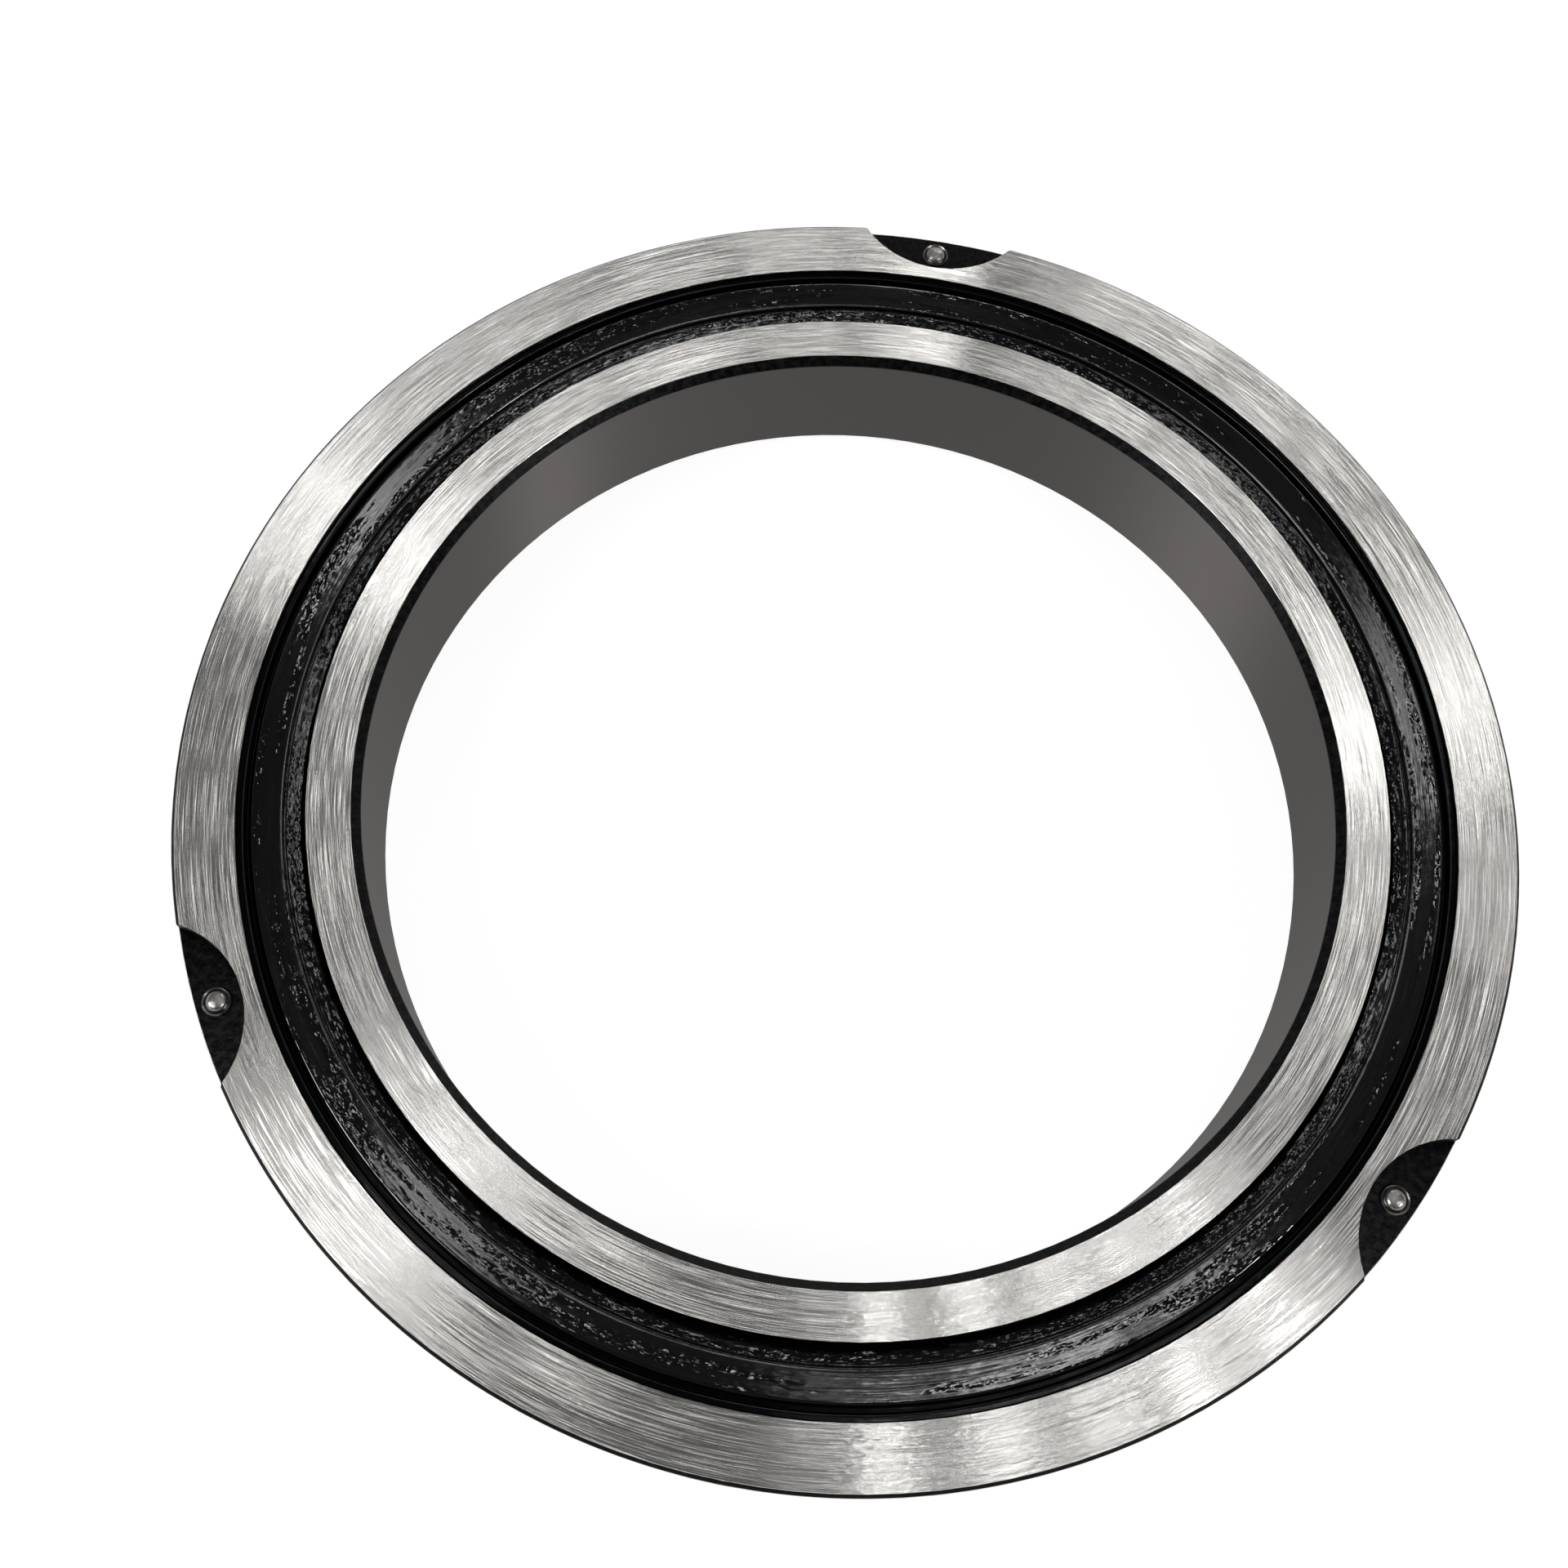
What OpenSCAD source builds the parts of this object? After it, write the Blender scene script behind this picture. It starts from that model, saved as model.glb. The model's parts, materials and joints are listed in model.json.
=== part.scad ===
// Crossed roller bearing, lying flat. The origin is its centre, at mid-width, and +Z is its axis.
// Lengths are in millimetres and angles in degrees.
// The rollers stand at 45 degrees to the axis, each at right angles to the next, between two V-shaped
// races. The outer ring is split at mid-width so that they can go in, and three rivets hold it together.

/* [Rings] */
// Diameter of the bore
bore_d = 80; // [60:0.5:100]
// Radial distance from the bore to the circle through the rollers' centres
inner_depth = 8; // [6.6:0.1:10]
// Radial distance from that circle to the rim
outer_depth = 7; // [6:0.1:9]
// Width of both rings
width = 13; // [11.5:0.5:18]
// Radial width of the inner ring's ground face, with the bore's chamfer
inner_face_w = 4.3; // [3.5:0.1:5.2]
// Radial width of the outer ring's ground face, with the rim's chamfer
outer_face_w = 5.1; // [4.5:0.1:6]
// Chamfer at both ends of the bore
bore_chamfer = 0.75; // [0.3:0.05:1.2]
// Chamfer at both edges of the rim
rim_chamfer = 0.35; // [0.2:0.05:0.8]

/* [Rollers] */
// Diameter of one roller
roller_d = 5; // [4.2:0.1:5.8]
// How much shorter a roller is than its diameter
roller_short = 0.2; // [0.1:0.05:0.6]
// Chamfer at both ends of a roller
roller_chamfer = 0.3; // [0.1:0.05:0.6]
// Running play between a roller and each race
roller_play = 0.05; // [0.05:0.01:0.1]

/* [Races] */
// Distance from the circle through the rollers' centres to the shoulder of each ring
shoulder_gap = 0.4; // [0.3:0.05:0.8]
// Height of the shoulder between the race and the shelf of the seal
shoulder_h = 1.1; // [0.8:0.05:1.5]
// Half the width of the relief groove at the bottom of each race
relief_half = 0.4; // [0.2:0.05:0.6]
// Depth of the relief groove below the point of the V
relief_depth = 0.15; // [0.1:0.05:0.3]

/* [Spacers] */
// Least thickness of a spacer, where two rollers come nearest
spacer_web = 1; // [0.6:0.05:2]
// Gap between a spacer and the roller in each of its saddles
saddle_gap = 0.1; // [0.08:0.01:0.2]
// Gap between a spacer and the races
spacer_gap = 0.15; // [0.12:0.01:0.4]

/* [Seals] */
// How far the locking bead of a seal reaches into the outer ring
bead_reach = 0.25; // [0.1:0.05:0.4]
// Width of the outer flange of a seal
flange_w = 0.57; // [0.4:0.01:0.7]
// Width of the moat between the flange and the raised band
moat_w = 0.66; // [0.5:0.01:0.8]
// Width of the thin groove between the raised band and the lip
groove_w = 0.22; // [0.15:0.01:0.4]
// Width of the sloping lip
lip_w = 1.57; // [1.2:0.01:1.8]
// Gap between the lip and the inner ring
lip_gap = 0.08; // [0.06:0.01:0.2]

/* [Rivets] */
// Number of rivets, evenly spaced
rivet_count = 3; // [3:1:6]
// Angle of the first rivet from +X
rivet_angle = 80.8; // [0:0.1:119]
// Diameter of a rivet's shank
rivet_d = 1.6; // [1.2:0.1:1.8]
// Diameter of a rivet's formed head
rivet_head_d = 2.5; // [2.2:0.1:2.8]
// Height of the head's dome above the recess floor
rivet_head_h = 0.5; // [0.3:0.05:0.8]
// Depth of the crescent recess round each head
recess_depth = 1.2; // [1:0.05:1.5]
// How far a recess reaches in from the rim
recess_reach = 3.92; // [3.5:0.02:4.1]
// Diameter of the cutter that leaves a recess
recess_d = 17; // [15:0.5:20]

/* [Lubrication] */
// Width of the oil groove round the rim
oil_groove_w = 2; // [1:0.1:3]
// Depth of the oil groove
oil_groove_depth = 0.6; // [0.3:0.05:0.7]
// Diameter of each oil hole from the groove to the race
oil_hole_d = 1.5; // [1:0.1:2]

/* [Hidden] */
$fn = 96;
ring_fn = 240;
overrun = 1;

right_angle = 90;
half_turn = 180;
turn = 360;
tilt = 45;

// Radii from the bore outwards, and levels up from mid-width
bore_r = bore_d / 2;
pitch_r = bore_r + inner_depth;
outer_r = pitch_r + outer_depth;
inner_face_r = bore_r + inner_face_w;
outer_face_r = outer_r - outer_face_w;
half_w = width / 2;

// The races are four cones round a square channel that stands on its corner
roller_r = roller_d / 2;
roller_half = (roller_d - roller_short) / 2;
channel_half = roller_r + roller_play;
apex_reach = channel_half * sqrt(2);
shoulder_z = apex_reach - shoulder_gap;
shelf_z = shoulder_z + shoulder_h;
inner_shoulder_r = pitch_r - shoulder_gap;
outer_shoulder_r = pitch_r + shoulder_gap;
inner_relief_r = pitch_r - apex_reach - relief_depth;
outer_relief_r = pitch_r + apex_reach + relief_depth;
inner_relief_edge_r = pitch_r - apex_reach + relief_half;
outer_relief_edge_r = pitch_r + apex_reach - relief_half;

// As many crossed pairs of rollers as the circle holds, with a spacer after each roller
spacer_r = channel_half - spacer_gap;
saddle_r = roller_r + saddle_gap;
least_pitch = 2 * saddle_r + spacer_web;
roller_count = 2 * floor(PI * pitch_r / least_pitch);
roller_pitch_angle = turn / roller_count;
horn_share = 0.58;
spacer_half = PI * pitch_r / roller_count - horn_share * roller_r;

// Radii of a seal from the outer ring inwards, and its heights as shares of the room above the shelf
seal_room = half_w - shelf_z;
bead_r = outer_face_r + bead_reach;
foot_gap = 0.1;
foot_r = outer_shoulder_r + foot_gap;
wall_lean = 0.08;
band_round = 0.16;
lip_tip_r = inner_face_r + lip_gap;
lip_r = lip_tip_r + lip_w;
moat_out_r = outer_face_r - flange_w;
band_out_r = moat_out_r - moat_w;
band_in_r = lip_r + groove_w;
lip_nose_w = 0.45;
lip_back_w = 0.25;
lip_root_w = 0.9;
under_share = 0.16;
bead_share = 0.27;
bead_end_share = 0.36;
flange_share = 0.82;
moat_share = 0.45;
band_out_share = 0.91;
band_in_share = 0.86;
groove_share = 0.61;
lip_share = 0.73;
lip_nose_share = 0.56;
lip_tip_share = 0.34;
lip_back_share = 0.24;

// Rivets stand in the outer ring's wall, between the race and the rim
rivet_r = rivet_d / 2;
rivet_place_share = 0.475;
rivet_circle_r = outer_relief_r + (outer_r - outer_relief_r) * rivet_place_share;
recess_floor_z = half_w - recess_depth;
recess_r = recess_d / 2;
recess_circle_r = outer_r - recess_reach + recess_r;
head_r = rivet_head_d / 2;
dome_r_share = 0.66;
valley_r_share = 0.74;
collar_r_share = 0.88;
valley_h_share = 0.14;
collar_h_share = 0.42;
dome_foot_h_share = 0.3;
dome_r = head_r * dome_r_share;
dome_foot_h = rivet_head_h * dome_foot_h_share;
dome_steps = 6;
arc_steps = 4;
oil_groove_r = outer_r - oil_groove_depth;
oil_hole_r = oil_hole_d / 2;

steel = "Silver";
bright_steel = "Gainsboro";
black_rubber = [0.09, 0.1, 0.12];
spacer_colour = "Ivory";

function roller_name(i) = str("roller_", i < 10 ? "0" : "", i);
function rivet_name(i) = str("rivet_", i);

// The same points below mid-width, in the opposite order
function below(points) = [for (i = [len(points) - 1 : -1 : 0]) [points[i][0], -points[i][1]]];

// A quarter or less of a circle as a few points, for a rounded corner in a section
function arc(centre, r, from, to) = [
    for (i = [0 : arc_steps])
        let (a = from + (to - from) * i / arc_steps)
        centre + r * [cos(a), sin(a)]
];

// The level in a seal that is this share of the room above the shelf
function seal_z(share) = shelf_z + seal_room * share;

// Upper half of the inner ring's section, from the race's bottom up and round to the bore
inner_section = [
    [inner_relief_r, relief_half],
    [inner_relief_edge_r, relief_half],
    [inner_shoulder_r, shoulder_z],
    [inner_shoulder_r, shelf_z],
    [inner_face_r, shelf_z],
    [inner_face_r, half_w],
    [bore_r + bore_chamfer, half_w],
    [bore_r, half_w - bore_chamfer]
];

// Section of the outer ring's upper half, from the parting plane at the rim round to the race
outer_section = [
    [outer_relief_r, 0],
    [oil_groove_r, 0],
    [oil_groove_r, oil_groove_w / 2],
    [outer_r, oil_groove_w / 2],
    [outer_r, half_w - rim_chamfer],
    [outer_r - rim_chamfer, half_w],
    [outer_face_r, half_w],
    [outer_face_r, seal_z(bead_end_share)],
    [bead_r, seal_z(bead_share)],
    [bead_r, shelf_z],
    [outer_shoulder_r, shelf_z],
    [outer_shoulder_r, shoulder_z],
    [outer_relief_edge_r, relief_half],
    [outer_relief_r, relief_half]
];

// Section of the upper seal, from its foot on the shelf, up the outer side and inwards to the lip
seal_section = concat(
    [
        [foot_r, seal_z(under_share)],
        [foot_r, shelf_z],
        [bead_r, shelf_z],
        [bead_r, seal_z(bead_share)],
        [outer_face_r, seal_z(bead_end_share)],
        [outer_face_r, seal_z(flange_share)],
        [moat_out_r, seal_z(flange_share)],
        [moat_out_r - wall_lean, seal_z(moat_share)],
        [band_out_r + wall_lean, seal_z(moat_share)]
    ],
    arc([band_out_r - band_round, seal_z(band_out_share) - band_round], band_round, 0, right_angle),
    arc([band_in_r + band_round, seal_z(band_in_share) - band_round], band_round, right_angle, half_turn),
    [
        [band_in_r, seal_z(groove_share)],
        [lip_r + wall_lean, seal_z(groove_share)],
        [lip_r, seal_z(lip_share)],
        [lip_tip_r + lip_nose_w, seal_z(lip_nose_share)],
        [lip_tip_r, seal_z(lip_tip_share)],
        [lip_tip_r + lip_back_w, seal_z(lip_back_share)],
        [lip_tip_r + lip_root_w, seal_z(under_share)]
    ]
);

// Upper half of a rivet's section: a collar, a valley and a dome that stand on the recess floor
rivet_section = concat(
    [
        [rivet_r, recess_floor_z],
        [head_r, recess_floor_z],
        [head_r * collar_r_share, recess_floor_z + rivet_head_h * collar_h_share],
        [head_r * valley_r_share, recess_floor_z + rivet_head_h * valley_h_share]
    ],
    [
        for (i = [0 : dome_steps])
            let (a = right_angle * i / dome_steps)
            [
                i == dome_steps ? 0 : dome_r * cos(a),
                recess_floor_z + dome_foot_h + (rivet_head_h - dome_foot_h) * sin(a)
            ]
    ]
);

module inner_ring() {
    color(steel)
        rotate_extrude($fn = ring_fn)
            polygon(concat(inner_section, below(inner_section)));
}

// Moves to the axis of a rivet, with +X pointing out of the bearing
module at_rivet(i) {
    rotate(rivet_angle + (i - 1) * turn / rivet_count)
        translate([rivet_circle_r, 0, 0])
            children();
}

// A crescent recess at the rim and the hole of the rivet in it
module recess_and_hole(i) {
    at_rivet(i) {
        translate([recess_circle_r - rivet_circle_r, 0, recess_floor_z])
            cylinder(r = recess_r, h = recess_depth + overrun);
        translate([0, 0, -overrun])
            cylinder(r = rivet_r, h = half_w + overrun);
    }
}

// An oil hole from the groove to the race, midway between two rivets
module oil_hole(i) {
    rotate(rivet_angle + (i - 1 / 2) * turn / rivet_count)
        translate([outer_relief_r - overrun, 0, 0])
            rotate([0, right_angle, 0])
                cylinder(r = oil_hole_r, h = outer_r - outer_relief_r + overrun);
}

// Upper half of the outer ring, with its flat side on the parting plane
module outer_half() {
    difference() {
        rotate_extrude($fn = ring_fn)
            polygon(outer_section);
        for (i = [1 : rivet_count]) {
            recess_and_hole(i);
            oil_hole(i);
        }
    }
}

module outer_ring_upper() {
    color(steel) outer_half();
}

module outer_ring_lower() {
    color(steel) mirror([0, 0, 1]) outer_half();
}

module rivet(i) {
    color(bright_steel)
        at_rivet(i)
            rotate_extrude()
                polygon(concat(rivet_section, below(rivet_section)));
}

module seal() {
    rotate_extrude($fn = ring_fn)
        polygon(seal_section);
}

module seal_upper() {
    color(black_rubber) seal();
}

module seal_lower() {
    color(black_rubber) mirror([0, 0, 1]) seal();
}

// Moves to the centre of a roller, with +Z along its axis. Odd rollers lean out and even ones lean in
module at_roller(i) {
    rotate((i - 1) * roller_pitch_angle)
        translate([pitch_r, 0, 0])
            rotate([0, i % 2 == 1 ? tilt : -tilt, 0])
                children();
}

module roller(i) {
    color(bright_steel)
        at_roller(i)
            rotate_extrude()
                polygon([
                    [0, -roller_half],
                    [roller_r - roller_chamfer, -roller_half],
                    [roller_r, -roller_half + roller_chamfer],
                    [roller_r, roller_half - roller_chamfer],
                    [roller_r - roller_chamfer, roller_half],
                    [0, roller_half]
                ]);
}

// The plug between roller i and the next one, with a saddle across each end at 45 degrees
module spacer(i) {
    difference() {
        rotate((i - 1 / 2) * roller_pitch_angle)
            translate([pitch_r, 0, 0])
                rotate([right_angle, 0, 0])
                    cylinder(r = spacer_r, h = 2 * spacer_half, center = true);
        for (neighbour = [i, i + 1])
            at_roller(neighbour)
                cylinder(r = saddle_r, h = 2 * (channel_half + overrun), center = true);
    }
}

module spacers() {
    color(spacer_colour)
        for (i = [1 : roller_count])
            spacer(i);
}

outer_ring_upper();
outer_ring_lower();
inner_ring();
seal_upper();
seal_lower();
spacers();
for (i = [1 : rivet_count])
    rivet(i);
for (i = [1 : roller_count])
    roller(i);
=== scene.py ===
# %% [markdown]
# # A crossed roller bearing on a white table
#
# The bearing lies flat and is seen from above, a little from the front. Its solids come from the packed
# model. This lesson adds what the solids don't have: the finish of ground steel, the skin of an oiled
# rubber seal with its fine relief, a white table, lamps and a camera.

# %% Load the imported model
import json
import math

import bmesh
import bpy
from mathutils import Matrix, Vector, noise

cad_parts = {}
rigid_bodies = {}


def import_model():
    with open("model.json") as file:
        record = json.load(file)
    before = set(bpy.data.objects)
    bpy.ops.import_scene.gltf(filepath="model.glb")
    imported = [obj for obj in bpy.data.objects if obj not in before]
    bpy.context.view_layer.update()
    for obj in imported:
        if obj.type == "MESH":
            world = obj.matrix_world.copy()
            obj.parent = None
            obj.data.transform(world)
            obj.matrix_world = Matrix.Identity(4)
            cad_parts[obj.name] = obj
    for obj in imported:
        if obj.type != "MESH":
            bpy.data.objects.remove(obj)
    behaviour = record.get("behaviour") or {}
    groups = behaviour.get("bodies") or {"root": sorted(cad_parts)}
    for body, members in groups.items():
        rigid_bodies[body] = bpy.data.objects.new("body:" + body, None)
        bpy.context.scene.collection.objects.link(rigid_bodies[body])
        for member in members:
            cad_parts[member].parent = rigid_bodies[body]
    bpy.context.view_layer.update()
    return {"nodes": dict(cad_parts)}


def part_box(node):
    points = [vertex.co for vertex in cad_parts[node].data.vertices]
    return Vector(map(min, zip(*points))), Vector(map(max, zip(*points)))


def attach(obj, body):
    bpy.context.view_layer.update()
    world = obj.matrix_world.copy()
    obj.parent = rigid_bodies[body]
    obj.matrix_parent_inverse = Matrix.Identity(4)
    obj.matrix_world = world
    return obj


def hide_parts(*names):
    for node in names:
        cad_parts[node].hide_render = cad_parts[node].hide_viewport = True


for leftover in list(bpy.data.objects):
    bpy.data.objects.remove(leftover)
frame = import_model()

# %% [markdown]
# Blender works in metres here. The sizes of a bearing are given in millimetres, so one name turns
# them into metres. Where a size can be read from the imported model, it is read and not typed again.

# %% Sizes that several finishes share
MM = 0.001
TURN = 2 * math.pi
FACE_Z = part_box("outer_ring_upper")[1].z
RIM_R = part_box("outer_ring_upper")[1].x
BORE_R = 40 * MM
SKIN = 0.02 * MM
print("ground faces at z =", round(FACE_Z / MM, 3), "mm, rim radius", round(RIM_R / MM, 3), "mm")

# %% [markdown]
# The camera stands close above the front of the bearing, as a phone held in the hand does. Its three
# axes are written as unit vectors. The right one lies level, the up one follows from it, and both came
# from fitting the circles of the bearing to the picture.

# %% Camera
CAMERA_PLACE = Vector((-10.4485, -53.0098, 144.0960)) * MM
CAMERA_RIGHT = Vector((0.99938505, 0.0, 0.03506442))
CAMERA_UP = Vector((-0.01246744, 0.93465413, 0.35533957))
camera_data = bpy.data.cameras.new("portrait_camera")
camera_data.sensor_width = 36.0
camera_data.lens = 41.38
camera_data.clip_start = 0.01
camera = bpy.data.objects.new("portrait_camera", camera_data)
bpy.context.scene.collection.objects.link(camera)
turned = Matrix((CAMERA_RIGHT, CAMERA_UP, CAMERA_RIGHT.cross(CAMERA_UP))).transposed().to_4x4()
camera.matrix_world = Matrix.Translation(CAMERA_PLACE) @ turned
bpy.context.scene.camera = camera
print("camera", round(CAMERA_PLACE.length / MM), "mm from the middle of the bearing")

# %% [markdown]
# A finish is a tree of nodes. A few short helpers keep the trees readable: one adds a node, one feeds
# it with sockets or numbers, and the others stand for the few kinds of node that every finish uses.


# %% Helpers for material nodes
def new_material(name, **constants):
    """A material, its tree and its Principled shader, with the named inputs set to constants."""
    material = bpy.data.materials.new(name)
    material.use_nodes = True
    shader = material.node_tree.nodes["Principled BSDF"]
    for key, value in constants.items():
        shader.inputs[key.replace("_", " ").title()].default_value = value
    return material, material.node_tree, shader


def feed(tree, node, index, value):
    """Sets an input to a number, or links it where the value is a socket."""
    if isinstance(value, bpy.types.NodeSocket):
        tree.links.new(value, node.inputs[index])
    else:
        node.inputs[index].default_value = value


def maths(tree, operation, *values):
    """The result of a sum, product or like step on numbers and sockets."""
    node = tree.nodes.new("ShaderNodeMath")
    node.operation = operation
    for index, value in enumerate(values):
        feed(tree, node, index, value)
    return node.outputs[0]


def combined(tree, x, y, z):
    """One vector from three parts."""
    node = tree.nodes.new("ShaderNodeCombineXYZ")
    for index, value in enumerate((x, y, z)):
        feed(tree, node, index, value)
    return node.outputs[0]


def cloud(tree, vector, scale, detail=2.0, roughness=0.5):
    """Soft noise from 0 to 1, mostly near 0.5."""
    node = tree.nodes.new("ShaderNodeTexNoise")
    for name, value in (("Vector", vector), ("Scale", scale), ("Detail", detail), ("Roughness", roughness)):
        feed(tree, node, name, value)
    return node.outputs["Fac"]


def between(tree, value, low, high, start=0.0, end=1.0):
    """start where the value is below low, end where it is above high, and a smooth way between."""
    node = tree.nodes.new("ShaderNodeMapRange")
    node.interpolation_type = "SMOOTHSTEP"
    for index, number in enumerate((value, low, high, start, end)):
        feed(tree, node, index, number)
    return node.outputs[0]


def blended(tree, share, first, second):
    """The first colour where the share is 0 and the second where it is 1."""
    node = tree.nodes.new("ShaderNodeMix")
    node.data_type = "RGBA"
    for index, value in ((0, share), (6, first), (7, second)):
        feed(tree, node, index, value)
    return node.outputs[2]


def bumped(tree, height, distance, normal=None):
    """The normal of a surface with this height pressed into it."""
    node = tree.nodes.new("ShaderNodeBump")
    node.inputs["Distance"].default_value = distance
    tree.links.new(height, node.inputs["Height"])
    if normal is not None:
        tree.links.new(normal, node.inputs["Normal"])
    return node.outputs["Normal"]


# %% [markdown]
# Everything on a bearing runs round its axis: the wheel that ground the faces, the mould of the seal,
# and the way in which oil is wiped. So the patterns are drawn in ring coordinates. The direction from
# the axis, as a point on a circle, changes slowly. The distance from the axis changes fast. A noise that
# reads them makes marks that are long round the ring and fine across it, with no seam.


# %% Ring coordinates
def place_on_ring(tree):
    """Sockets for the direction (two), the distance from the axis and the height, in metres."""
    coords = tree.nodes.new("ShaderNodeTexCoord")
    split = tree.nodes.new("ShaderNodeSeparateXYZ")
    tree.links.new(coords.outputs["Object"], split.inputs[0])
    x, y = split.outputs["X"], split.outputs["Y"]
    squares = maths(tree, "ADD", maths(tree, "MULTIPLY", x, x), maths(tree, "MULTIPLY", y, y))
    radius = maths(tree, "SQRT", squares)
    return maths(tree, "DIVIDE", x, radius), maths(tree, "DIVIDE", y, radius), radius, split.outputs["Z"]


def vector_maths(tree, operation, first, second=None, scale=None):
    """The result of one step on vectors."""
    node = tree.nodes.new("ShaderNodeVectorMath")
    node.operation = operation
    tree.links.new(first, node.inputs[0])
    if second is not None:
        tree.links.new(second, node.inputs[1])
    if scale is not None:
        feed(tree, node, "Scale", scale)
    return node.outputs[0]


def tilted_normal(tree, place, across, along=None):
    """The surface's normal, tilted across the ring and along it by the given slopes."""
    u, v = place[:2]
    turn_way = tree.nodes.new("ShaderNodeVectorTransform")
    turn_way.vector_type = "VECTOR"
    turn_way.convert_from, turn_way.convert_to = "OBJECT", "WORLD"
    tree.links.new(combined(tree, maths(tree, "MULTIPLY", v, -1.0), u, 0.0), turn_way.inputs[0])
    normal = tree.nodes.new("ShaderNodeNewGeometry").outputs["Normal"]
    cross_way = vector_maths(tree, "CROSS_PRODUCT", normal, turn_way.outputs[0])
    tilted = vector_maths(tree, "ADD", normal, vector_maths(tree, "SCALE", cross_way, scale=across))
    if along is not None:
        lean = vector_maths(tree, "SCALE", turn_way.outputs[0], scale=along)
        tilted = vector_maths(tree, "ADD", tilted, lean)
    return vector_maths(tree, "NORMALIZE", tilted)


def weighted(tree, *parts):
    """The sum of values, each times its weight."""
    total = 0.0
    for value, weight in parts:
        total = maths(tree, "ADD", maths(tree, "MULTIPLY", value, weight), total)
    return total


def tangent_round_axis(tree, shader):
    """Lays the shader's tangent along the marks, round the Z axis."""
    tangent = tree.nodes.new("ShaderNodeTangent")
    tangent.direction_type, tangent.axis = "RADIAL", "Z"
    tree.links.new(tangent.outputs[0], shader.inputs["Tangent"])


def swing(tree, value, slope):
    """A noise of 0 to 1 as a slope to both sides."""
    return maths(tree, "MULTIPLY", maths(tree, "SUBTRACT", value, 0.5), slope)


def ring_marks(tree, place, per_turn, width, detail=2.0, roughness=0.5, lift=0.0):
    """Noise whose marks are about a turn / per_turn long and one width across."""
    u, v, radius, z = place
    around = per_turn / TURN
    across = maths(tree, "ADD", maths(tree, "DIVIDE", maths(tree, "ADD", radius, z), width), lift)
    vector = combined(tree, maths(tree, "MULTIPLY", u, around), maths(tree, "MULTIPLY", v, around), across)
    return cloud(tree, vector, 1.0, detail, roughness)


# %% [markdown]
# ## Ring steel
#
# The rings are hardened steel. Heat left a black-brown scale on them, and grinding took it off the two
# faces, the rim and the bore only. So one material holds three finishes and chooses by place: bright
# ground steel with marks that run round the ring, the smooth dark bore, and scale in the chamfers, the
# recesses and the wall beside the seal. The marks spread a highlight across the ring but not along it.
# That is what anisotropy does in the shader, with a tangent that runs round the Z axis.

# %% Where each finish of the rings lies
ring_steel, tree, shader = new_material("ground_ring_steel", metallic=1.0, anisotropic=1.0,
                                        anisotropic_rotation=0.25)
place = place_on_ring(tree)
radius, z = place[2:]
on_face = between(tree, maths(tree, "ABSOLUTE", z), FACE_Z - 2 * SKIN, FACE_Z - SKIN)
on_rim = between(tree, radius, RIM_R - 3 * SKIN, RIM_R - 2 * SKIN)
in_bore = between(tree, radius, BORE_R + SKIN, BORE_R + 2 * SKIN, 1.0, 0.0)
ground = maths(tree, "MAXIMUM", on_face, on_rim)
machined = maths(tree, "MAXIMUM", ground, in_bore)
print("faces ground above", round((FACE_Z - SKIN) / MM, 2), "mm, rim ground outside", round((RIM_R - SKIN) / MM, 2))

# %% [markdown]
# The grinding wheel leaves marks of several sizes: hair lines a millimetre or two long, longer scratches,
# and faint bands where the wheel pressed harder. Each is one noise in ring coordinates, and together they
# make the colour of the ground steel a little uneven.

# %% Colour of the ground faces
GROUND = (0.815, 0.795, 0.770, 1.0)
GROUND_DULL = (0.715, 0.695, 0.668, 1.0)
hair_lines = ring_marks(tree, place, 260, 0.14 * MM, 2.0, 0.6, lift=17.0)
scratches = ring_marks(tree, place, 70, 0.30 * MM, 3.0, 0.6, lift=29.0)
wheel_bands = ring_marks(tree, place, 30, 2.6 * MM, 3.0, 0.55, lift=3.0)
grit = ring_marks(tree, place, 900, 0.18 * MM, 2.0, 0.6, lift=53.0)
marks = weighted(tree, (hair_lines, 0.30), (scratches, 0.15), (grit, 0.35), (wheel_bands, 0.20))
ground_colour = blended(tree, between(tree, marks, 0.38, 0.62), GROUND_DULL, GROUND)
print("ground steel mirrors", GROUND_DULL[0], "to", GROUND[0], "of the light")

# %% Colour of the bore and of the hardening scale
BORE_GREY = (0.115, 0.108, 0.104, 1.0)
BURN_SIZE = 0.6 * MM
SCALE_BLACK = (0.008, 0.0085, 0.0095, 1.0)
SCALE_BROWN = (0.026, 0.024, 0.023, 1.0)
coords = tree.nodes.new("ShaderNodeTexCoord")
burn = cloud(tree, coords.outputs["Object"], 1 / BURN_SIZE, 5.0, 0.65)
scale_colour = blended(tree, between(tree, burn, 0.42, 0.66), SCALE_BLACK, SCALE_BROWN)
colour = blended(tree, in_bore, blended(tree, ground, scale_colour, ground_colour), BORE_GREY)
tree.links.new(colour, shader.inputs["Base Color"])
print("scale is blotched every", BURN_SIZE / MM, "mm")

# %% [markdown]
# Ground steel throws each lamp out as a narrow fan that points away from the axis. Two things make the fan:
# the shader's anisotropy, with a tangent that runs round the Z axis, and thousands of fine grooves whose
# walls lean across the ring. The lean is added to the normal by nodes. A Bump node would do it too, but it
# measures slopes from pixel to pixel, and on grooves this fine that would also blur the fans sideways.

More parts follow.
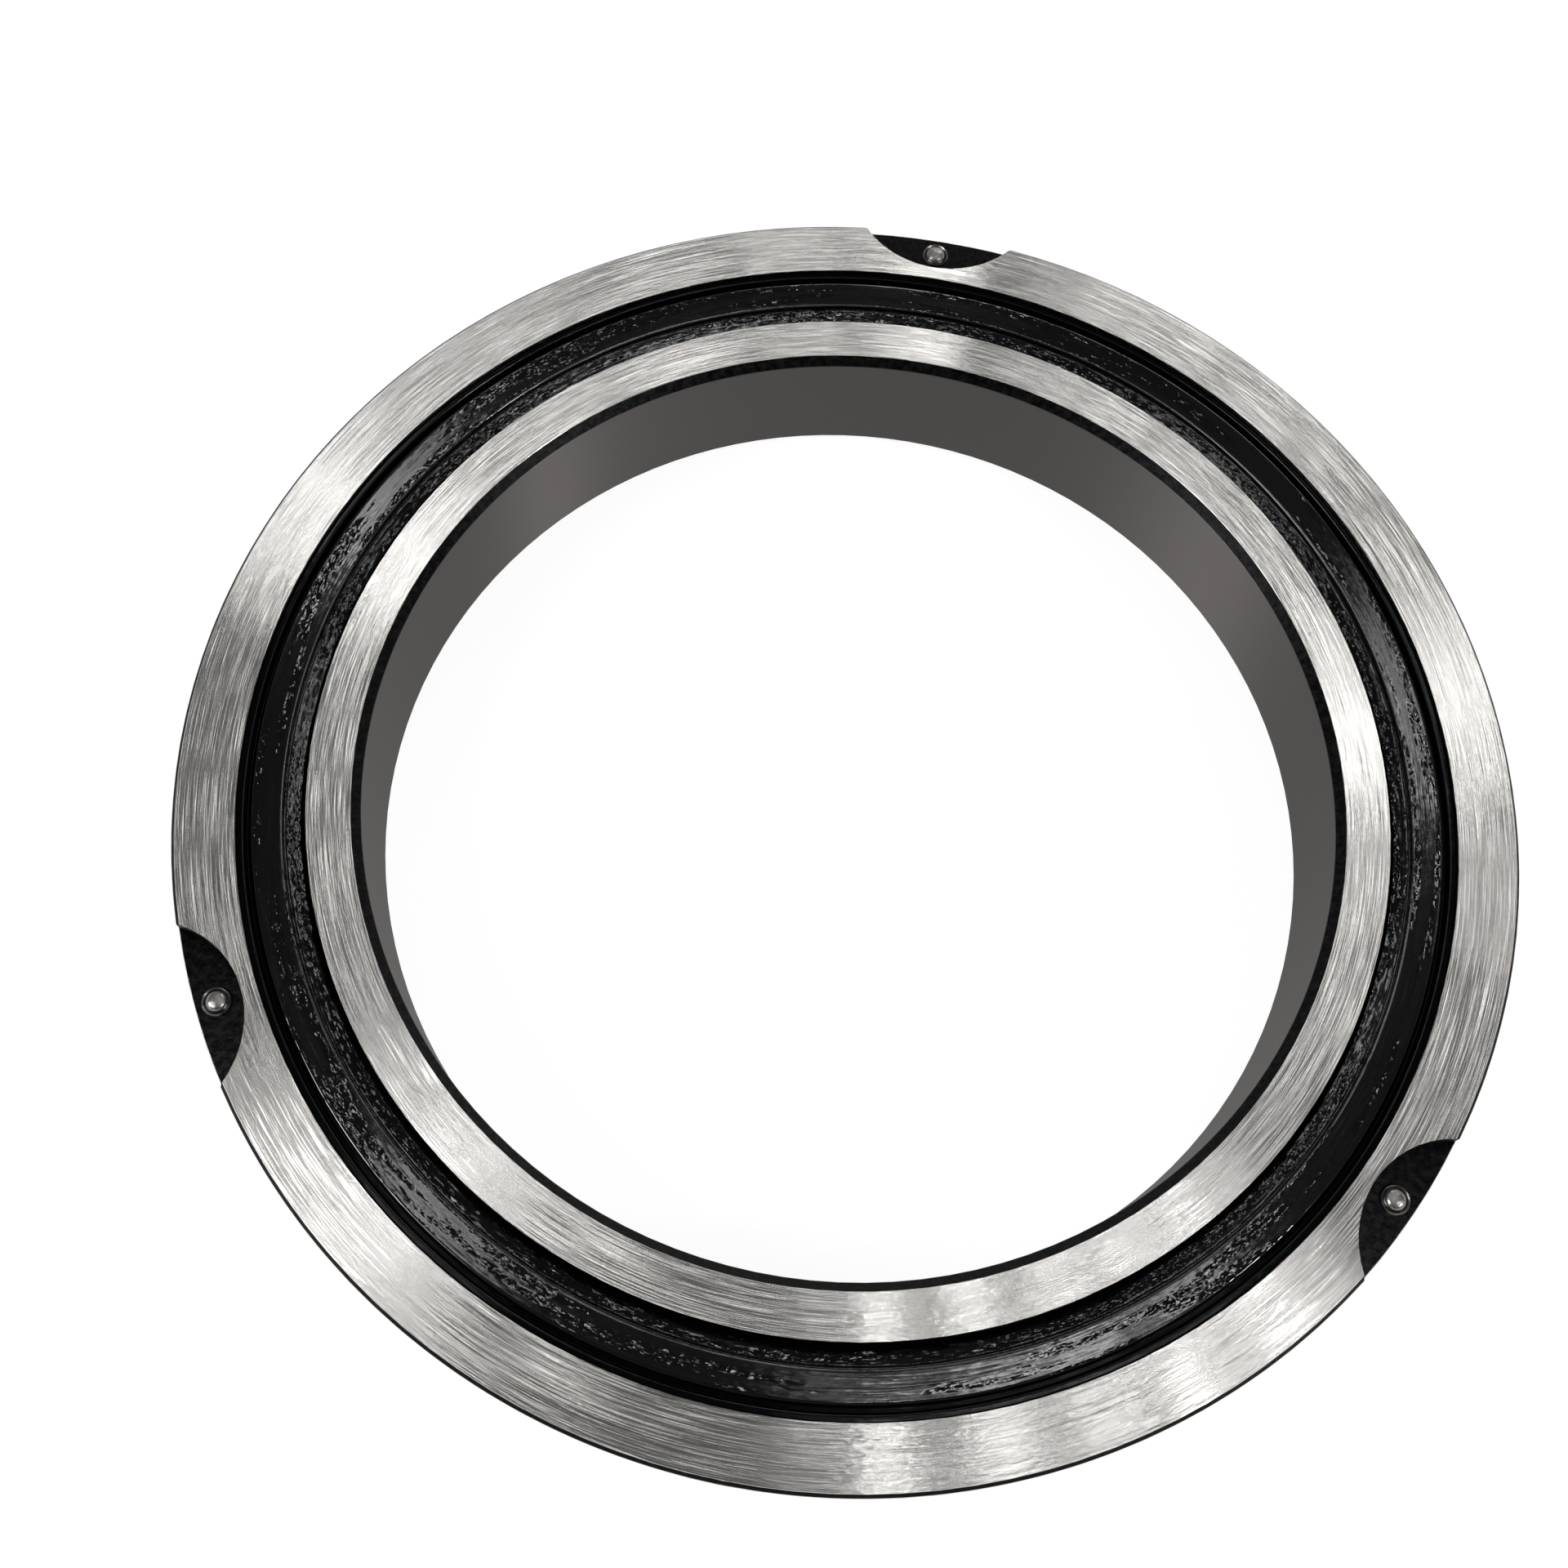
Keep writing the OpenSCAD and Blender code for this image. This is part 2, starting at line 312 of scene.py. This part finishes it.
# %% Gloss and grooves of the ring steel
GROOVE_LEAN, PIT_LEAN = 1.0, 0.03
GROUND_ROUGHNESS, SCALE_ROUGHNESS, BORE_ROUGHNESS = (0.165, 0.185), (0.26, 0.48), 0.42
SCALE_RELIEF = 0.05 * MM
fine_grooves = ring_marks(tree, place, 50, 0.030 * MM, 2.0, 0.6)
across = swing(tree, fine_grooves, GROOVE_LEAN)
pits = ring_marks(tree, place, 700, 0.16 * MM, 2.0, 0.6, lift=71.0)
along = swing(tree, pits, PIT_LEAN)
across, along = (maths(tree, "MULTIPLY", lean, ground) for lean in (across, along))
grooved = tilted_normal(tree, place, across, along)
rough_scale = between(tree, burn, 0.35, 0.65, *SCALE_ROUGHNESS)
rough_ground = between(tree, wheel_bands, 0.3, 0.7, *GROUND_ROUGHNESS)
rough = between(tree, ground, 0.0, 1.0, rough_scale, rough_ground)
rough = between(tree, in_bore, 0.0, 1.0, rough, BORE_ROUGHNESS)
tree.links.new(rough, shader.inputs["Roughness"])
scale_height = maths(tree, "MULTIPLY", burn, maths(tree, "SUBTRACT", 1.0, machined))
tree.links.new(bumped(tree, scale_height, SCALE_RELIEF, grooved), shader.inputs["Normal"])
tangent_round_axis(tree, shader)
print("ring steel:", len(tree.nodes), "nodes")

# %% [markdown]
# ## Seals
#
# Each side is closed by a ring of moulded black rubber. Its section steps down from a thin flange beside
# the outer ring into a moat, up to a wide band, down a fine groove, and then slopes as a lip towards
# the inner ring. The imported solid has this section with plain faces. The piece here is spun from the
# same outline, cut finely, so that real relief can be pressed into the skin.

# %% Outline of the seal
SHELF_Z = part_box("seal_upper")[0].z / MM
ROOM = FACE_Z / MM - SHELF_Z
outline = [
    (48.50, 0.16), (48.50, 0.00), (50.15, 0.00), (50.15, 0.27), (49.90, 0.36), (49.90, 0.82),
    (49.33, 0.82), (49.25, 0.45), (48.75, 0.45), (48.67, 0.885), (46.17, 0.885), (46.17, 0.61),
    (46.03, 0.61), (45.95, 0.73), (44.83, 0.56), (44.38, 0.34), (44.63, 0.24), (45.28, 0.16),
]
FLANGE_CORNERS, BAND_CORNERS, LIP_CORNERS = (5, 6), (9, 10), (13, 14, 15)
SOFT_ROUND, SHARP_ROUND = 0.14 * MM, 0.06 * MM
SECTORS = 12
SECTOR_STEPS = 105
FINE_EDGE = 0.13 * MM
COARSE_EDGE = 0.6 * MM
print("seal stands", round(ROOM, 2), "mm high,", SECTORS * SECTOR_STEPS, "steps round the axis")

# %% [markdown]
# The relief of the oil is a height for every point of the skin. Oil gathers in a few stretches of the band as
# low beads, and the lip carries a thicker, broken line of it that runs along the ring. Fractal noise
# gives both. It reads the place in space for the beads, and direction and distance for the streaks.

# %% Relief of the oil
BEAD_SIZE, STREAK_WIDTH, STREAKS_PER_RADIAN = 0.55 * MM, 0.3 * MM, 22
BAND_SKIN, LIP_SKIN = (46.2 * MM, 48.6 * MM), (44.7 * MM, 46.1 * MM)
BAND_RELIEF, LIP_RELIEF, PLAIN_RELIEF = 0.004 * MM, 0.030 * MM, 0.001 * MM
SKIN_DEPTH = 1.6 * MM


def round_corners(shape, corners, size):
    """Bevels corners of the section."""
    bmesh.ops.bevel(shape, geom=corners, offset=size, offset_type="OFFSET", affect="VERTICES", segments=3,
                    profile=0.5, material=-1)


def oil_patches(place):
    """How much oil lies at a place of the seal: 0 for none, 1 for a thick skin."""
    direction = Vector((place.x, place.y, 0.0)).normalized()
    share = 0.5 + noise.fractal(direction * 3.1 + Vector((4.0, 1.0, 0.0)), 1.0, 2.0, 3)
    return min(1.0, max(0.0, share * 1.4 - 0.2))


def press_relief(vert):
    """Beads of oil on the band and streaks along the lip, as heights in metres."""
    place, radius = vert.co, Vector((vert.co.x, vert.co.y)).length
    if FACE_Z - place.z > SKIN_DEPTH:
        return 0.0
    beads = noise.fractal(place / BEAD_SIZE, 1.0, 2.0, 3)
    if BAND_SKIN[0] < radius < BAND_SKIN[1]:
        return BAND_RELIEF * beads * oil_patches(place) ** 2
    if LIP_SKIN[0] < radius < LIP_SKIN[1]:
        angle = math.atan2(place.y, place.x)
        around = Vector((math.cos(angle), math.sin(angle), 0.0)) * STREAKS_PER_RADIAN
        streaks = noise.fractal(around + Vector((0.0, 0.0, radius / STREAK_WIDTH)), 1.0, 2.0, 3)
        return LIP_RELIEF * (0.6 * beads + 0.9 * streaks)
    return PLAIN_RELIEF * beads


print("beads every", round(BEAD_SIZE / MM, 2), "mm, up to about", round(LIP_RELIEF / MM, 3), "mm high")


# %% [markdown]
# A ring of one section could be a Screw modifier or a hand-made grid of faces. The spin operator does it in
# one call. It grows slow on a full turn of many steps, so it makes one sector, and a second spin with
# copies repeats that sector round the axis. Then each vertex moves along its normal by the relief of
# the oil: beads on the band, and a broken line of them along the lip.

# %% Spin the upper seal
seal_shape = bmesh.new()
ring_verts = [seal_shape.verts.new((r * MM, 0.0, (SHELF_Z + share * ROOM) * MM)) for r, share in outline]
for first, second in zip(ring_verts, ring_verts[1:] + ring_verts[:1]):
    seal_shape.edges.new((first, second))
sharp = [ring_verts[k] for k in FLANGE_CORNERS + LIP_CORNERS]
round_corners(seal_shape, [ring_verts[k] for k in BAND_CORNERS], SOFT_ROUND)
round_corners(seal_shape, sharp, SHARP_ROUND)
for edge in list(seal_shape.edges):
    on_top = sum(vert.co.z for vert in edge.verts) / 2 > (SHELF_Z + 0.3 * ROOM) * MM
    wanted = FINE_EDGE if on_top else COARSE_EDGE
    cuts = int(edge.calc_length() / wanted)
    if cuts:
        bmesh.ops.subdivide_edges(seal_shape, edges=[edge], cuts=cuts)
section_points = len(seal_shape.verts)
about_axis = {"cent": (0.0, 0.0, 0.0), "axis": (0.0, 0.0, 1.0), "dvec": (0.0, 0.0, 0.0),
              "use_merge": False}
bmesh.ops.spin(seal_shape, geom=seal_shape.verts[:] + seal_shape.edges[:], angle=TURN / SECTORS,
               steps=SECTOR_STEPS, use_duplicate=False, **about_axis)
bmesh.ops.spin(seal_shape, geom=seal_shape.verts[:] + seal_shape.edges[:] + seal_shape.faces[:],
               angle=TURN - TURN / SECTORS, steps=SECTORS - 1, use_duplicate=True, **about_axis)
bmesh.ops.remove_doubles(seal_shape, verts=seal_shape.verts, dist=0.001 * MM)
bmesh.ops.recalc_face_normals(seal_shape, faces=seal_shape.faces)
seal_shape.normal_update()
moves = [(vert, vert.normal.copy(), press_relief(vert)) for vert in seal_shape.verts]
for vert, normal, height in moves:
    vert.co += normal * height
for face in seal_shape.faces:
    face.smooth = True
print("seal:", section_points, "points in the section,", 2 * len(seal_shape.faces), "triangles")

# %% Both seals
seal_mesh = bpy.data.meshes.new("oiled_seal_upper")
seal_shape.to_mesh(seal_mesh)
seal_upper = bpy.data.objects.new("oiled_seal_upper", seal_mesh)
bmesh.ops.scale(seal_shape, verts=seal_shape.verts, vec=(1.0, 1.0, -1.0))
bmesh.ops.recalc_face_normals(seal_shape, faces=seal_shape.faces)
lower_mesh = bpy.data.meshes.new("oiled_seal_lower")
seal_shape.to_mesh(lower_mesh)
seal_lower = bpy.data.objects.new("oiled_seal_lower", lower_mesh)
seal_shape.free()
for seal, node in ((seal_upper, "seal_upper"), (seal_lower, "seal_lower")):
    bpy.context.scene.collection.objects.link(seal)
    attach(seal, "outer_ring")
    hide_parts(node)
    print(seal.name, "stands for", node)

# %% [markdown]
# The rubber itself is nearly black. What one sees is the oil on it: a glossy film that is smooth in most
# places and beaded in others, so it sparkles where a lamp is mirrored and stays black elsewhere. So the colour
# is constant and the roughness low, and noises that are strong only under the beads lean the normal across
# the ring and along it. The narrow moat beside the band is deep and in shade, and that shade is painted by
# turning the moat's shine nearly off.

# %% Seal rubber with oil on it
RUBBER = (0.0016, 0.0018, 0.0023, 1.0)
LIP_END, BAND_END = (46.0 * MM, 46.1 * MM), (48.6 * MM, 48.7 * MM)
MOAT_START, MOAT_END = (48.66 * MM, 48.76 * MM), (49.24 * MM, 49.34 * MM)
FLANGE_START = (49.3 * MM, 49.4 * MM)
LIP_SHINE, FILM_SHINE, FLANGE_SHINE, MOAT_SHADE_LOSS = 0.65, 0.95, 0.15, 0.95
FILM_ROUGHNESS, BEAD_ROUGHNESS = 0.12, 0.06
FILM_LEAN, BEAD_LEAN, MOULD_LEAN = 0.05, 0.5, 0.15
seal_rubber, tree, shader = new_material("oiled_seal_rubber", base_color=RUBBER, anisotropic=0.6,
                                         anisotropic_rotation=0.25)
place = place_on_ring(tree)
radius = place[2]
in_moat = maths(tree, "MULTIPLY", between(tree, radius, *MOAT_START), between(tree, radius, *MOAT_END, 1.0, 0.0))
film_shine = between(tree, radius, *LIP_END, LIP_SHINE, FILM_SHINE)
film_shine = between(tree, radius, *FLANGE_START, film_shine, FLANGE_SHINE)
# Painted shade: the deep moat beside the band keeps only a twentieth of its shine, so it stays black.
unshaded_shine = maths(tree, "SUBTRACT", 1.0, maths(tree, "MULTIPLY", in_moat, MOAT_SHADE_LOSS))
tree.links.new(maths(tree, "MULTIPLY", film_shine, unshaded_shine), shader.inputs["Specular IOR Level"])
grains = ring_marks(tree, place, 420, 0.24 * MM, 2.0, 0.6, lift=7.0)
side_grains = ring_marks(tree, place, 420, 0.24 * MM, 2.0, 0.6, lift=37.0)
mould_rings = ring_marks(tree, place, 60, 0.10 * MM, 2.0, 0.5)
oil_drifts = ring_marks(tree, place, 26, 0.9 * MM, 3.0, 0.6, lift=11.0)
on_lip = between(tree, radius, *LIP_END, 1.0, 0.0)
inside_band = between(tree, radius, *BAND_END, 1.0, 0.0)
drops = between(tree, oil_drifts, 0.48, 0.60)
lip_drops = maths(tree, "MULTIPLY", on_lip, between(tree, oil_drifts, 0.40, 0.52))
beaded = maths(tree, "MULTIPLY", inside_band, maths(tree, "MAXIMUM", drops, lip_drops))
grain_lean = between(tree, beaded, 0.0, 1.0, FILM_LEAN, BEAD_LEAN)
rough = between(tree, beaded, 0.0, 1.0, FILM_ROUGHNESS, BEAD_ROUGHNESS)
tree.links.new(rough, shader.inputs["Roughness"])
across = maths(tree, "ADD", swing(tree, mould_rings, MOULD_LEAN), swing(tree, grains, grain_lean))
along = swing(tree, side_grains, grain_lean)
tree.links.new(tilted_normal(tree, place, across, along), shader.inputs["Normal"])
tangent_round_axis(tree, shader)
for seal in (seal_upper, seal_lower):
    seal.data.materials.append(seal_rubber)
print("seal rubber:", len(tree.nodes), "nodes")

# %% [markdown]
# ## Rivets
#
# Three rivets hold the two halves of the outer ring together. A press formed their heads, so the domes
# are smooth but not polished. Soft steel scatters a highlight evenly, so this metal has no anisotropy. The
# low ring around each dome is darkened by height as painted shade, and a few mottled dark spots are dirt.

# %% Rivet steel
RIVET_GREY = (0.34, 0.33, 0.315, 1.0)
VALLEY_SHADE_AND_DIRT = (0.02, 0.018, 0.016, 1.0)
VALLEY_SHADE_FROM, VALLEY_SHADE_TO = FACE_Z - 1.12 * MM, FACE_Z - 0.98 * MM
rivet_steel, tree, shader = new_material("formed_rivet_steel", metallic=1.0, roughness=0.33)
coords = tree.nodes.new("ShaderNodeTexCoord")
z = place_on_ring(tree)[3]
mottle = cloud(tree, coords.outputs["Object"], 1 / (0.35 * MM), 3.0)
# Painted shade: the low ring around each dome, near the floor of its recess, is darkened by height. The mottled
# dark spots are dirt.
low = between(tree, maths(tree, "ABSOLUTE", z), VALLEY_SHADE_FROM, VALLEY_SHADE_TO, 0.9, 0.0)
shade_and_dirt = maths(tree, "MAXIMUM", low, between(tree, mottle, 0.62, 0.75, 0.0, 0.5))
tree.links.new(blended(tree, shade_and_dirt, RIVET_GREY, VALLEY_SHADE_AND_DIRT), shader.inputs["Base Color"])
tree.links.new(bumped(tree, mottle, 0.04 * MM), shader.inputs["Normal"])
print("dirt lies up to", round(VALLEY_SHADE_TO / MM, 2), "mm above mid-width")

# %% [markdown]
# ## Rollers and spacers
#
# The rollers lie in the hidden V between the rings, each at right angles to the next, and plastic spacers
# keep them apart. No view from outside shows them, but a reader may take the bearing apart. The rollers
# are lapped, so they are nearly mirrors, with faint clouds of polish. The spacers are moulded from a
# cream plastic, in which the flow of the melt leaves soft clouds too.

# %% Roller steel
roller_steel, tree, shader = new_material("polished_roller_steel", metallic=1.0)
coords = tree.nodes.new("ShaderNodeTexCoord")
polish = cloud(tree, coords.outputs["Object"], 1 / (0.8 * MM), 3.0)
CLOUDED, LAPPED = (0.60, 0.60, 0.60, 1.0), (0.78, 0.78, 0.77, 1.0)
tree.links.new(blended(tree, polish, CLOUDED, LAPPED), shader.inputs["Base Color"])
tree.links.new(between(tree, polish, 0.3, 0.7, 0.12, 0.24), shader.inputs["Roughness"])
print("roller steel:", len(tree.nodes), "nodes")

# %% Spacer plastic
spacer_plastic, tree, shader = new_material("moulded_spacer_plastic", roughness=0.45)
coords = tree.nodes.new("ShaderNodeTexCoord")
flow = cloud(tree, coords.outputs["Object"], 1 / (1.5 * MM), 3.0)
CREAM_DARK, CREAM = (0.70, 0.66, 0.55, 1.0), (0.82, 0.79, 0.70, 1.0)
tree.links.new(blended(tree, flow, CREAM_DARK, CREAM), shader.inputs["Base Color"])
tree.links.new(bumped(tree, flow, 0.02 * MM), shader.inputs["Normal"])
print("spacer plastic:", len(tree.nodes), "nodes")

# %% [markdown]
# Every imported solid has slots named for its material. Each slot gets the finish of the same name, also on
# the solids of the seals that the dressed seals stand for.

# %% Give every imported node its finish
finishes = {"ring_steel": ring_steel, "rivet_steel": rivet_steel, "roller_steel": roller_steel,
            "seal_rubber": seal_rubber, "spacer_plastic": spacer_plastic}
for name, node in frame["nodes"].items():
    for slot in node.material_slots:
        slot.material = finishes[slot.material.name]
print("finishes:", ", ".join(finishes))

# %% [markdown]
# ## Table
#
# The bearing lies on a white table with no visible end. A wide disc with a raised edge does this, so that
# polished metal has white around it to mirror. Cameras and mirrors see the disc partly as glowing white,
# by the Light Path node, and lamps see it as plain white paint. So it stays white, adds little light to
# the object, and still shows the object's shadow.

# %% Stage
TABLE_R, EDGE_HEIGHT = 3.0, 0.9
TABLE_WHITE, GLOW, GLOW_SHARE = (0.9, 0.9, 0.9, 1.0), 1.13, 0.82
floor_mesh = bpy.data.meshes.new("table")
floor = bpy.data.objects.new("table", floor_mesh)
bpy.context.scene.collection.objects.link(floor)
shape = bmesh.new()
bmesh.ops.create_circle(shape, cap_ends=True, radius=TABLE_R, segments=96)
bmesh.ops.translate(shape, verts=shape.verts, vec=(0.0, 0.0, -FACE_Z))
edges = [edge for edge in shape.edges if edge.is_boundary]
raised = bmesh.ops.extrude_edge_only(shape, edges=edges)["geom"]
raised_verts = [part for part in raised if isinstance(part, bmesh.types.BMVert)]
bmesh.ops.translate(shape, verts=raised_verts, vec=(0.0, 0.0, EDGE_HEIGHT))
bmesh.ops.recalc_face_normals(shape, faces=shape.faces)
shape.to_mesh(floor_mesh)
shape.free()
white, tree, shader = new_material("white_table", base_color=TABLE_WHITE, roughness=0.9)
shader.inputs["Specular IOR Level"].default_value = 0.0
rays = tree.nodes.new("ShaderNodeLightPath")
seen = maths(tree, "MAXIMUM", rays.outputs["Is Camera Ray"], rays.outputs["Is Glossy Ray"])
seen = maths(tree, "MAXIMUM", seen, rays.outputs["Is Transmission Ray"])
glow = tree.nodes.new("ShaderNodeEmission")
glow.inputs["Strength"].default_value = GLOW
mix = tree.nodes.new("ShaderNodeMixShader")
tree.links.new(maths(tree, "MULTIPLY", seen, GLOW_SHARE), mix.inputs[0])
tree.links.new(shader.outputs[0], mix.inputs[1])
tree.links.new(glow.outputs[0], mix.inputs[2])
tree.links.new(mix.outputs[0], tree.nodes["Material Output"].inputs["Surface"])
floor.data.materials.append(white)
print("table", 2 * TABLE_R, "m across, its top at", round(-FACE_Z / MM, 2), "mm")

# %% [markdown]
# ## Lamps
#
# Ground metal mirrors each lamp as a bright fan across the ring, so the picture of the bearing is mostly a
# picture of its lamps. A room with many small lamps and a few wide bright areas gives the row of fans in
# front and the broad soft light elsewhere. All lamps hang one metre over the faces, and each is a
# rectangle with its place and size in millimetres. The world is nearly dark, which keeps the rubber black.

# %% World
WORLD_GREY = 0.05
world = bpy.data.worlds.new("studio")
world.use_nodes = True
world.node_tree.nodes["Background"].inputs["Color"].default_value = (WORLD_GREY,) * 3 + (1.0,)
bpy.context.scene.world = world
print("world grey", WORLD_GREY)

# %% Lamps
LAMP_HEIGHT = FACE_Z / MM + 1000


def add_lamp(name, place, size, brightness):
    """A rectangular lamp that faces down. Its brightness is how it looks when seen directly."""
    data = bpy.data.lights.new(name, "AREA")
    data.shape = "RECTANGLE"
    data.size, data.size_y = size[0] * MM, size[1] * MM
    data.energy = brightness * math.pi * data.size * data.size_y
    lamp = bpy.data.objects.new(name, data)
    lamp.location = Vector(place) * MM
    bpy.context.scene.collection.objects.link(lamp)
    return lamp


LAMPS = [
    ((-912, -260), (700, 400), 10.5), ((448, -300), (50, 50), 42.9), ((612, -300), (26, 80), 86.1),
    ((966, -500), (150, 150), 81.7), ((-208, 100), (26, 80), 7.8), ((-152, 300), (26, 80), 4.2),
    ((-148, 100), (26, 80), 6.2), ((-28, 200), (26, 80), 5.4), ((8, 400), (50, 50), 5.9),
    ((51, -6), (26, 80), 1.4), ((63, 340), (100, 100), 3.7), ((92, -80), (26, 80), 10.8),
    ((121, -4), (26, 80), 1.1), ((160, -40), (26, 80), 11.5), ((178, 7), (26, 80), 1.1),
    ((188, 400), (50, 50), 9.1), ((220, 0), (50, 50), 10.9), ((228, 300), (150, 150), 1.4),
    ((278, 50), (26, 80), 8.4), ((382, 400), (26, 80), 7.2), ((428, 400), (26, 80), 10.0),
    ((738, 300), (150, 150), 1.4), ((-658, 700), (100, 100), 6.0), ((-400, 600), (50, 50), 8.3),
    ((-326, 1000), (250, 250), 1.3), ((-320, 600), (26, 80), 15.6), ((-240, 600), (100, 100), 3.4),
    ((0, 560), (50, 50), 6.7), ((126, 1410), (350, 250), 5.5), ((200, 1100), (100, 100), 10.4),
    ((375, 1100), (150, 150), 2.3), ((492, 500), (100, 100), 2.4), ((588, 500), (150, 150), 1.1),
    ((900, 1460), (700, 400), 6.6),
]
for index, ((x, y), size, brightness) in enumerate(LAMPS):
    add_lamp(f"lamp_{index}", (x, y, LAMP_HEIGHT), size, brightness)
print(len(LAMPS), "lamps at", LAMP_HEIGHT, "mm")

bpy.context.scene.view_settings.view_transform = "Standard"
